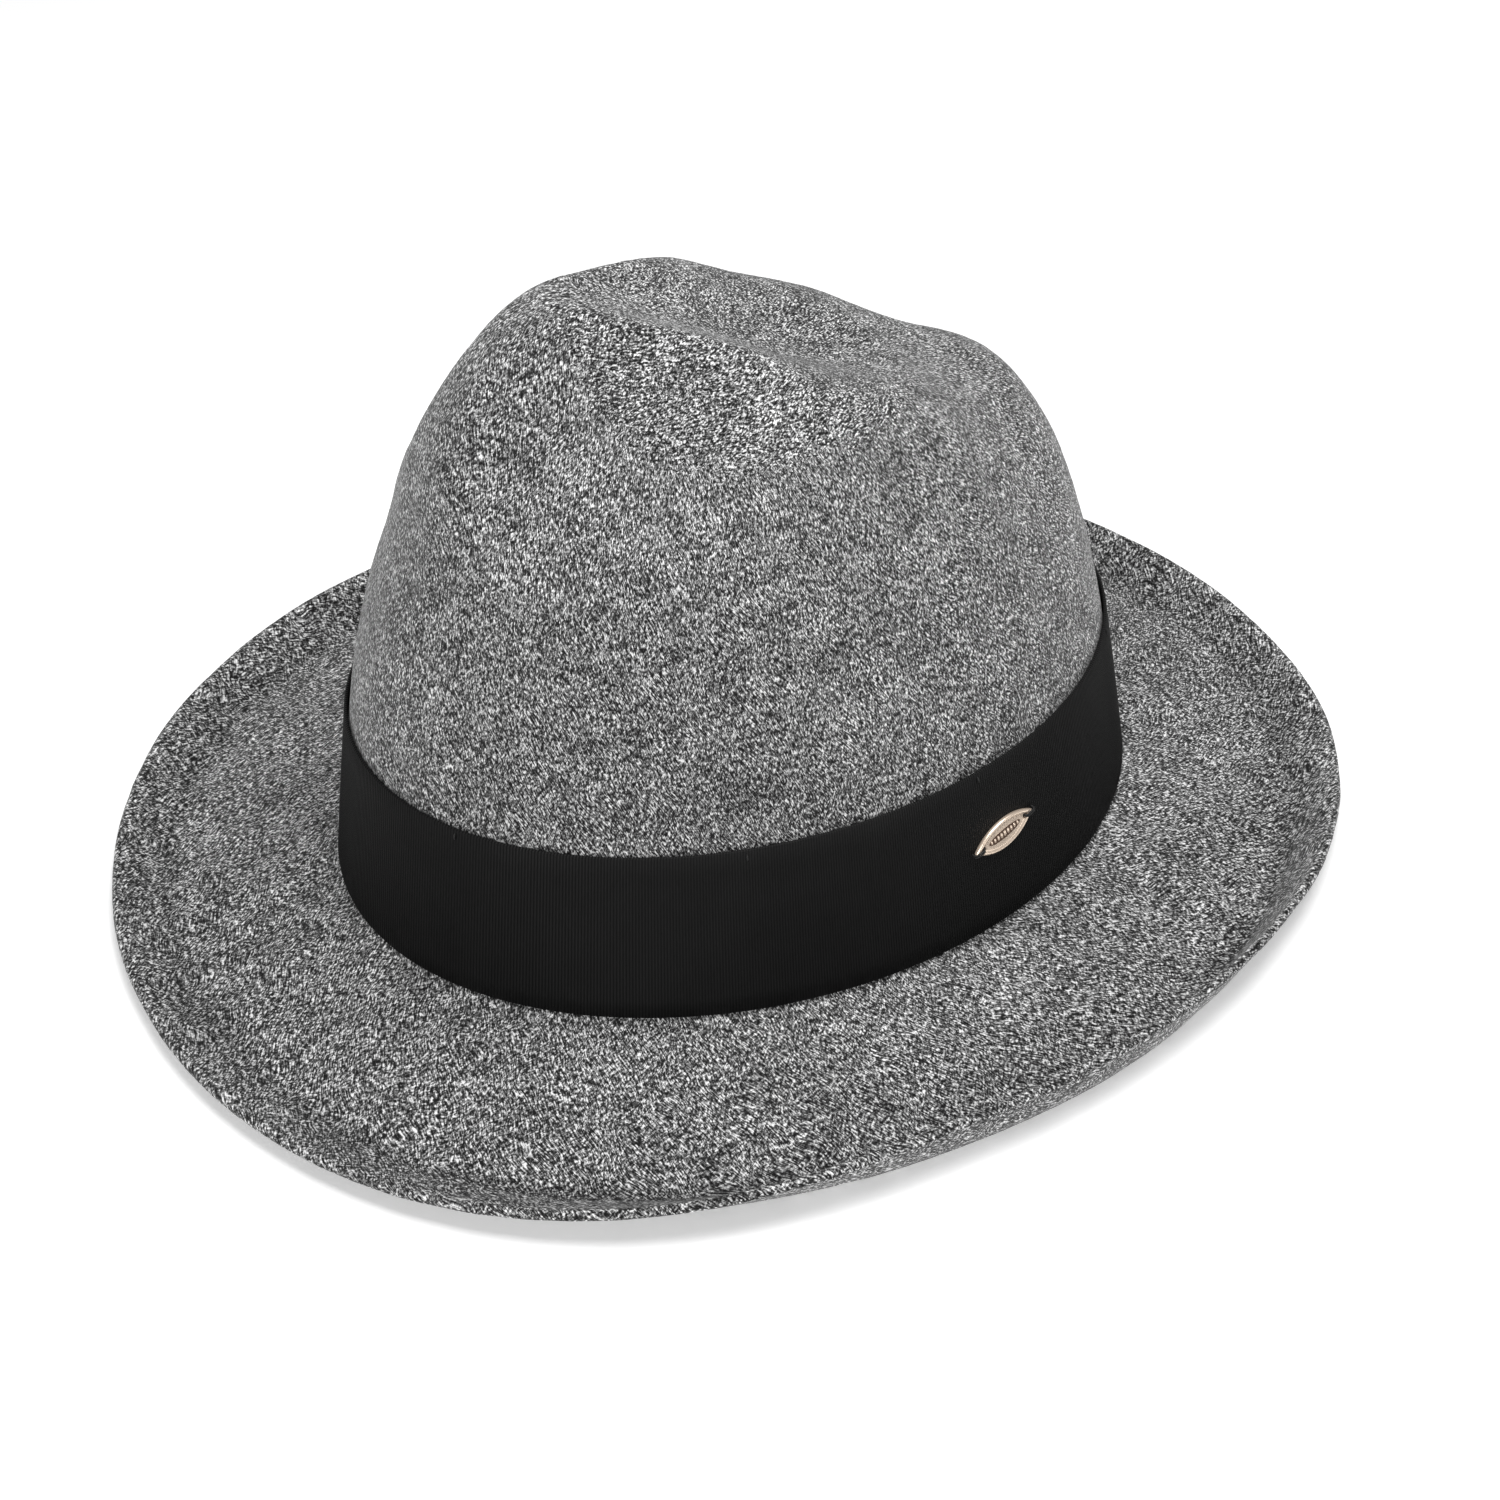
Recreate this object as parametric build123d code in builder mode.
from build123d import *
import os
from math import atan2, cos, exp, hypot, log, pi, radians, sin, sqrt

os.makedirs("parts", exist_ok=True)

# Frame: the hat stands level on the fold of its brim at Z = 0. Its front points to -Y, the
# wearer's left is +X and the back is +Y. Angles run from the front (0) round by the wearer's
# left (90) to the back (180). All sizes are in millimetres.

# ---- felt hood: crown and brim are one blocked piece ----
felt = 2.6                   # thickness of the felt
head_length = 101.5          # half the length of the crown oval, outside, where it meets the brim
head_width = 81.3            # half its width
root_height = 11.69          # where the crown meets the brim, above the ground
crown_height = 154.5         # the plain block, before the top is creased
power_end = 3.2              # squareness of the crown's front and back, seen from the side
power_side = 3.0             # squareness of its sides, seen from the front
lean_length = 0.19           # how far the front and back lean in over the crown height
lean_width = 0.27            # how far the sides lean in
front_lift = 0.13            # the crown stands this much higher in front than in the middle

dent_depth = 7.6             # teardrop crease along the top, at its narrow front end
dent_deepen = 11             # how much deeper it gets towards the back
dent_width = 12.6
dent_flare = 17.5            # how much wider it gets towards the back
dent_tip = -60               # the depth and width above hold here
dent_run = 100               # and grow over this length
dent_front = -34
dent_back = 53
dent_edge = 6.5              # how softly the crease starts and ends

sag_depth = 12.5             # the top sags behind the middle
sag_place = 23.6
sag_length = 34
back_drop = 11.8             # and rolls off at the back
back_place = 62
back_length = 16

# one hollow each side of the front, pressed in as a sloping floor below the rim of the crease
press_height = 107.5         # the floor's height at press_side and press_ahead
press_side = 50
press_ahead = -46
press_rise_in = 0.82         # the floor's slopes: up towards the middle
press_rise_back = 0.3        # and up towards the back
press_fall = 0.6             # it falls more steeply in front of press_turn
press_turn = -50
rim_half = 15.9              # half the distance between the two rims, in front
rim_flare = 0.25             # how they part towards the back
rim_wall = 1.35              # slope of the wall from the floor up to the rim
bend = 6                     # softness of the two turns above
rim_bend = 2
press_bend = 2.2             # roundness of the hollow's edge

front_pinch = 4              # the front is drawn in a little at half height
front_place = -88
front_length = 22
front_height = 98
front_tall = 20

fold_front = 43              # from the crown to the fold of the brim
fold_side = 45.7
fold_back = 42.7
fold_front_quarter = 4.5     # the brim is fuller between front and side
fold_back_quarter = 1.1
fold_drop = 9.7              # how far the brim falls from the crown to the fold
lip_length = 12.3            # the turned-up edge
lip_front = 3.9              # how far the edge stands above the fold
lip_side = 11.6
lip_back = 3.6
lip_front_quarter = -1.3     # the edge is a little lower between front and side
lip_back_quarter = 1.9       # and higher between side and back

# ---- ribbon, badge and sweatband ----
ribbon_height = 43
ribbon_lift = 3.0            # lower edge of the ribbon above the crown's foot
ribbon_thick = 0.8
ribbon_gap = 0.25            # air between felt and ribbon
join_width = 15              # the loop of ribbon that covers the join
join_angle = 262             # on the wearer's right
tack_count = 8
tack_start = 20              # degrees from the front to the first tack

badge_length = 19.3
badge_height = 7.4
badge_thick = 1.1
badge_angle = 114
badge_lift = 25.4            # centre of the badge above the crown's foot
badge_tilt = 8               # degrees, rising to the back
badge_hole = 0.75            # radius of the two sewing holes
badge_hole_place = 7.1       # from the badge's centre
thread = 0.28                # radius of the sewing thread

sweat_height = 34
sweat_thick = 1.0
sweat_gap = 0.5
sweat_lift = 1.2             # its lower edge above the crown's foot
reed = 0.9                   # radius of the piped reed
stitch_count = 84
stitch_length = 3.4
stitch = 0.22
stitch_lift = 3.2            # the stitch row above the sweatband's lower edge
tack_length = 1.6

bow_width = 30
bow_height = 10
bow_thick = 1.4
bow_lift = 12
bow_waist = 2                # half the bow's height where the knot gathers it
knot_width = 5
knot_height = 6
knot_thick = 2.2

label_thick = 0.35
label_lift = 19
label_hem = 1.5
label_stitch = 1.8
label_reach = 12
size_label_angle = 206
size_label_width = 13
size_label_height = 16
care_label_angle = 146
care_label_width = 34
care_label_height = 20

hair = 0.08                  # the smallest air gap between pieces that touch
closing_radius = 2.6         # disc that closes the top of the crown
reach_through = 12           # cutting depth for patches on the wall
thread_bend = 0.45
foot_gap = 0.2               # the thread's ends stand this far off the leaning ribbon


def oval_radius(half_length, half_width, angle):
    """Distance from the centre to an oval, at an angle from the front."""
    return 1 / sqrt((cos(angle) / half_length) ** 2 + (sin(angle) / half_width) ** 2)


def around(angle, front, side, back):
    """A size that changes smoothly from front to side to back."""
    end = front if cos(angle) > 0 else back
    return side * sin(angle) ** 2 + end * cos(angle) ** 2


def soft_step(value):
    return 1 / (1 + exp(-value))


def soft_ramp(value, width):
    """Zero below 0 and the value itself above it, with a soft turn between."""
    return width * log(1 + exp(value / width))


def lower_of(first, second, width):
    """The lower of two heights, with the corner between them rounded."""
    return min(first, second) - width * log(1 + exp(-abs(first - second) / width))


def bell(value, middle, width):
    return exp(-(((value - middle) / width) ** 2))


def profile(rise, power):
    """The crown's narrowing with height: 1 at its foot and 0 at the top."""
    return (1 - rise ** power) ** (1 / power)


def creased(side, ahead, height, top):
    """Height of the crown's top with its crease, sag and hollows; top is 0 at the crown's foot and
    1 at its highest."""
    along = min(max((ahead - dent_tip) / dent_run, -0.2), 1.2)
    inside = soft_step((ahead - dent_front) / dent_edge) * soft_step((dent_back - ahead) / dent_edge)
    depth = dent_depth + dent_deepen * along
    height -= depth * bell(side, 0, dent_width + dent_flare * along) * inside * top
    height -= sag_depth * bell(ahead, sag_place, sag_length) * top
    height -= back_drop * bell(ahead, back_place, back_length) * top
    rim = rim_half + rim_flare * soft_ramp(ahead - press_turn, bend)
    floor = press_height + press_rise_in * (press_side - abs(side))
    floor += press_rise_back * (ahead - press_ahead)
    floor -= press_fall * soft_ramp(press_turn - ahead, bend)
    floor += rim_wall * soft_ramp(rim - abs(side), rim_bend)
    return lower_of(height, floor, press_bend)


def crown_point(angle, climb):
    """Radius and height of the crown's outside; climb is 0 at its foot and 90 at the middle of
    the top."""
    power = power_end * cos(angle) ** 2 + power_side * sin(angle) ** 2
    c, s = cos(radians(climb)), sin(radians(climb))
    scale = (c ** power + s ** power) ** (-1 / power)
    rise = s * scale
    half_length = head_length * (1 - lean_length * rise)
    half_width = head_width * (1 - lean_width * rise)
    radius = oval_radius(half_length, half_width, angle) * c * scale
    side, ahead = radius * sin(angle), -radius * cos(angle)
    top = rise ** 1.5
    height = crown_height * rise * (1 - front_lift * ahead / head_length * top)
    height = creased(side, ahead, height, top)
    pinch = front_pinch * bell(ahead, front_place, front_length) * bell(height, front_height, front_tall)
    return radius - pinch, root_height + height


def fold_distance(angle):
    quarter = fold_front_quarter if cos(angle) > 0 else fold_back_quarter
    return around(angle, fold_front, fold_side, fold_back) + quarter * sin(2 * angle) ** 2


def brim_point(angle, out):
    """The top of the brim; out is 0 at the crown and 1 at the fold."""
    radius = oval_radius(head_length, head_width, angle) + out * fold_distance(angle)
    return radius, root_height - fold_drop * out ** 1.15


def lip_point(angle, up):
    """The turned-up edge; up is 0 in the fold and 1 at the edge."""
    quarter = lip_front_quarter if cos(angle) > 0 else lip_back_quarter
    rise = around(angle, lip_front, lip_side, lip_back) + quarter * sin(2 * angle) ** 2
    run = sqrt(lip_length ** 2 - rise ** 2)
    radius = oval_radius(head_length, head_width, angle) + fold_distance(angle) + run * up
    return radius, root_height - fold_drop + rise * up


crown_stations = [88.6, 84, 79.5, 75, 71, 67, 63, 59, 55, 51, 47, 43, 38, 32, 25, 17, 9, 3.5, 1.0]
brim_stations = [0.06, 0.25, 0.5, 0.75, 0.92]
lip_stations = [0.22, 0.6, 1.0]
station_count = len(crown_stations) + len(brim_stations) + len(lip_stations)
even_steps = [k / (station_count - 1) for k in range(station_count)]


def outside_points(angle):
    points = [crown_point(angle, climb) for climb in crown_stations]
    points += [brim_point(angle, out) for out in brim_stations]
    points += [lip_point(angle, up) for up in lip_stations]
    return points


def inside_points(outside):
    """The same line moved in by the felt's thickness."""
    points = []
    for k, (radius, height) in enumerate(outside):
        before, after = outside[max(k - 1, 0)], outside[min(k + 1, len(outside) - 1)]
        run, rise = after[0] - before[0], after[1] - before[1]
        length = hypot(run, rise)
        points.append((radius + felt * rise / length, height - felt * run / length))
    points[0] = (outside[0][0], outside[0][1] - felt)
    return points


def half_plane(angle):
    """The upright plane from the hat's axis out along an angle."""
    out = (sin(angle), -cos(angle), 0)
    return Plane(origin=(0, 0, 0), x_dir=out, z_dir=(-cos(angle), -sin(angle), 0))


section_step = 10
with BuildPart() as felt_body:
    for degrees in range(-20, 201, section_step):
        angle = radians(degrees)
        outside = outside_points(angle)
        inside = inside_points(outside)
        with BuildSketch(half_plane(angle)):
            with BuildLine():
                add(Edge.make_spline(outside, parameters=even_steps))
                Line(outside[-1], inside[-1])
                add(Edge.make_spline(inside[::-1], parameters=even_steps))
                Line(inside[0], outside[0])
            make_face()
    loft()
    split(bisect_by=Plane.YZ, keep=Keep.TOP)
    mirror(about=Plane.YZ)
    # the sections stop just short of the axis, and this small disc of felt closes the top
    front_rim, back_rim = crown_point(0, crown_stations[0]), crown_point(pi, crown_stations[0])
    slope = (back_rim[1] - front_rim[1]) / (front_rim[0] + back_rim[0])
    middle = (front_rim[1] + back_rim[1]) / 2
    with BuildSketch(Plane(origin=(0, 0, middle), x_dir=(1, 0, 0), z_dir=(0, -slope, 1))):
        Circle(closing_radius)
    extrude(amount=-felt)
felt_body.part.label = "felt_body"
export_step(felt_body.part, "parts/felt_body.step")


# ---- pieces that follow the crown's wall ----
def wall_oval(lift, offset):
    """Half width and half length of the wall at a height above its foot, moved out by offset."""
    rise = max(lift, 0) / crown_height
    half_width = head_width * (1 - lean_width * rise) * profile(rise, power_side) + offset
    half_length = head_length * (1 - lean_length * rise) * profile(rise, power_end) + offset
    return half_width, half_length


def wall_sleeve(low, high, offset, thick):
    """A closed band round the wall, from offset to offset + thick outside it."""
    with BuildPart() as sleeve:
        for reach, mode in ((offset + thick, Mode.ADD), (offset, Mode.SUBTRACT)):
            for lift in (low, (low + high) / 2, high):
                with BuildSketch(Plane.XY.offset(root_height + lift)):
                    Ellipse(*wall_oval(lift, reach))
            loft(mode=mode)
    return sleeve.part


def wall_plane(degrees, lift, offset):
    """Upright plane that touches the moved-out wall: X runs round the hat, Y up, Z outwards."""
    angle = radians(degrees)
    half_width, half_length = wall_oval(lift, offset)
    radius = oval_radius(half_length, half_width, angle)
    side, ahead = radius * sin(angle), -radius * cos(angle)
    out = Vector(side / half_width ** 2, ahead / half_length ** 2, 0).normalized()
    return Plane(origin=(side, ahead, root_height + lift), x_dir=(-out.Y, out.X, 0), z_dir=out)


def spaced(count, start=0):
    return [start + 360 * k / count for k in range(count)]


ribbon_top = ribbon_lift + ribbon_height
ribbon_out = ribbon_gap + ribbon_thick

ribbon_band = wall_sleeve(ribbon_lift, ribbon_top, ribbon_gap, ribbon_thick)
ribbon_band.label = "ribbon_band"
export_step(ribbon_band, "parts/ribbon_band.step")

join_sleeve = wall_sleeve(ribbon_lift, ribbon_top, ribbon_out + hair, ribbon_thick)
with BuildPart() as ribbon_join_tab:
    add(join_sleeve)
    with BuildSketch(wall_plane(join_angle, ribbon_lift + ribbon_height / 2, ribbon_out)):
        Rectangle(join_width, ribbon_height + 2)
    extrude(amount=reach_through, both=True, mode=Mode.INTERSECT)
ribbon_join_tab.part.label = "ribbon_join_tab"
export_step(ribbon_join_tab.part, "parts/ribbon_join_tab.step")

# short upright stitches just under the ribbon's upper edge
tack_lift = ribbon_top - tack_length
tack_out = ribbon_out + hair + stitch
with BuildPart() as ribbon_tacks:
    with Locations(*[wall_plane(a, tack_lift, tack_out) for a in spaced(tack_count, tack_start)]):
        Cylinder(stitch, tack_length, rotation=(90, 0, 0))
ribbon_tacks.part.label = "ribbon_tacks"
export_step(ribbon_tacks.part, "parts/ribbon_tacks.step")


# ---- badge ----
def tilted(plane):
    """The plane turned about its normal by the badge's tilt."""
    turn = radians(badge_tilt)
    return Plane(plane.origin, plane.x_dir * cos(turn) + plane.y_dir * sin(turn), plane.z_dir)


def badge_plane(offset):
    return tilted(wall_plane(badge_angle, badge_lift, offset))


badge_sleeve = wall_sleeve(0, ribbon_top, ribbon_out + hair, badge_thick)
with BuildPart() as badge_plate:
    add(badge_sleeve)
    with BuildSketch(badge_plane(ribbon_out)):
        with BuildLine():
            ThreePointArc((-badge_length / 2, 0), (0, badge_height / 2), (badge_length / 2, 0))
            ThreePointArc((badge_length / 2, 0), (0, -badge_height / 2), (-badge_length / 2, 0))
        make_face()
        with Locations((-badge_hole_place, 0), (badge_hole_place, 0)):
            Circle(badge_hole, mode=Mode.SUBTRACT)
    extrude(amount=badge_height, both=True, mode=Mode.INTERSECT)
badge_plate.part.label = "badge_plate"
export_step(badge_plate.part, "parts/badge_plate.step")


def badge_thread(side):
    """A loop of thread from a hole over the badge's end; side is -1 in front and 1 behind."""
    hole = badge_plane(ribbon_out).from_local_coords((side * badge_hole_place, 0, 0))
    degrees = atan2(hole.X, -hole.Y) * 180 / pi
    at_hole = tilted(wall_plane(degrees, hole.Z - root_height, ribbon_out))
    tip = side * (badge_length / 2 - badge_hole_place + 2 * thread + hair)
    top = badge_thick + 2 * hair + 2 * thread
    across = Plane(origin=at_hole.origin, x_dir=at_hole.x_dir, z_dir=-at_hole.y_dir)
    start = across.from_local_coords((0, foot_gap, 0))
    foot = Plane(origin=start, x_dir=at_hole.x_dir, z_dir=at_hole.z_dir)
    with BuildPart() as loop:
        with BuildLine(across):
            FilletPolyline((0, foot_gap), (0, top), (tip, top), (tip, foot_gap), radius=thread_bend)
        with BuildSketch(foot):
            Circle(thread)
        sweep()
    return loop.part


for name, side in (("badge_thread_front", -1), ("badge_thread_back", 1)):
    piece = badge_thread(side)
    piece.label = name
    export_step(piece, f"parts/{name}.step")

# ---- sweatband, inside the crown at its foot ----
sweat_inside = -(felt + sweat_gap + sweat_thick)
sweatband = wall_sleeve(sweat_lift, sweat_lift + sweat_height, sweat_inside, sweat_thick)
sweatband.label = "sweatband"
export_step(sweatband, "parts/sweatband.step")

# the piped reed hangs on the sweatband's lower edge and keeps it round
reed_lift = sweat_lift - reed - hair
reed_oval = wall_oval(reed_lift, sweat_inside + sweat_thick / 2)
reed_start = (reed_oval[0], 0, root_height + reed_lift)
with BuildPart() as sweatband_reed:
    with BuildLine(Plane.XY.offset(root_height + reed_lift)):
        EllipticalCenterArc((0, 0), *reed_oval, arc_size=360)
    with BuildSketch(Plane(origin=reed_start, x_dir=(1, 0, 0), z_dir=(0, 1, 0))):
        Circle(reed)
    sweep()
sweatband_reed.part.label = "sweatband_reed"
export_step(sweatband_reed.part, "parts/sweatband_reed.step")

stitch_depth = sweat_inside - hair - stitch
stitch_row = sweat_lift + stitch_lift
with BuildPart() as sweatband_stitches:
    with Locations(*[wall_plane(a, stitch_row, stitch_depth) for a in spaced(stitch_count)]):
        Cylinder(stitch, stitch_length, rotation=(0, 90, 0))
sweatband_stitches.part.label = "sweatband_stitches"
export_step(sweatband_stitches.part, "parts/sweatband_stitches.step")

# a small flat bow covers the sweatband's seam at the back
bow_outer = sweat_inside - 4 * stitch
bow_sleeve = wall_sleeve(0, sweat_height, bow_outer - bow_thick, bow_thick)
knot_sleeve = wall_sleeve(0, sweat_height, bow_outer - knot_thick, knot_thick)
with BuildPart() as bow_wings:
    add(bow_sleeve)
    with BuildSketch(wall_plane(180, bow_lift, bow_outer)):
        with BuildLine():
            Polyline(
                (0, bow_waist),
                (bow_width / 2, bow_height / 2),
                (bow_width / 2, -bow_height / 2),
                (0, -bow_waist),
                close=True,
            )
        make_face()
        mirror(about=Plane.YZ)
    extrude(amount=bow_width, both=True, mode=Mode.INTERSECT)
with BuildPart() as bow_knot:
    add(knot_sleeve)
    with BuildSketch(wall_plane(180, bow_lift, bow_outer)):
        RectangleRounded(knot_width, knot_height, knot_width / 4)
    extrude(amount=bow_width, both=True, mode=Mode.INTERSECT)
with BuildPart() as sweatband_bow:
    add(bow_wings.part)
    add(bow_knot.part)
sweatband_bow.part.label = "sweatband_bow"
export_step(sweatband_bow.part, "parts/sweatband_bow.step")


# ---- blank labels on the sweatband ----
def label_patch(degrees, lift, width, height):
    """A thin label that lies on the inside of the sweatband."""
    sleeve = wall_sleeve(0, sweat_lift + sweat_height, sweat_inside - hair - label_thick, label_thick)
    with BuildPart() as patch:
        add(sleeve)
        with BuildSketch(wall_plane(degrees, lift, sweat_inside)):
            Rectangle(width, height)
        extrude(amount=label_reach, both=True, mode=Mode.INTERSECT)
    return patch.part


size_label = label_patch(size_label_angle, label_lift, size_label_width, size_label_height)
size_label.label = "size_label"
export_step(size_label, "parts/size_label.step")

care_label = label_patch(care_label_angle, label_lift, care_label_width, care_label_height)
care_label.label = "care_label"
export_step(care_label, "parts/care_label.step")


def label_stitch_planes(degrees, width, height, count):
    """Places for a row of stitches along a label's upper edge."""
    depth = sweat_inside - 2 * hair - label_thick - stitch
    lift = label_lift + height / 2 - label_hem
    spread = 180 / pi * (width - 2 * label_hem) / hypot(*wall_oval(lift, depth)) * sqrt(2)
    return [wall_plane(degrees + spread * (k / (count - 1) - 0.5), lift, depth) for k in range(count)]


stitch_places = label_stitch_planes(size_label_angle, size_label_width, size_label_height, 3)
stitch_places += label_stitch_planes(care_label_angle, care_label_width, care_label_height, 7)
with BuildPart() as label_stitches:
    with Locations(*stitch_places):
        Cylinder(stitch, label_stitch, rotation=(0, 90, 0))
label_stitches.part.label = "label_stitches"
export_step(label_stitches.part, "parts/label_stitches.step")
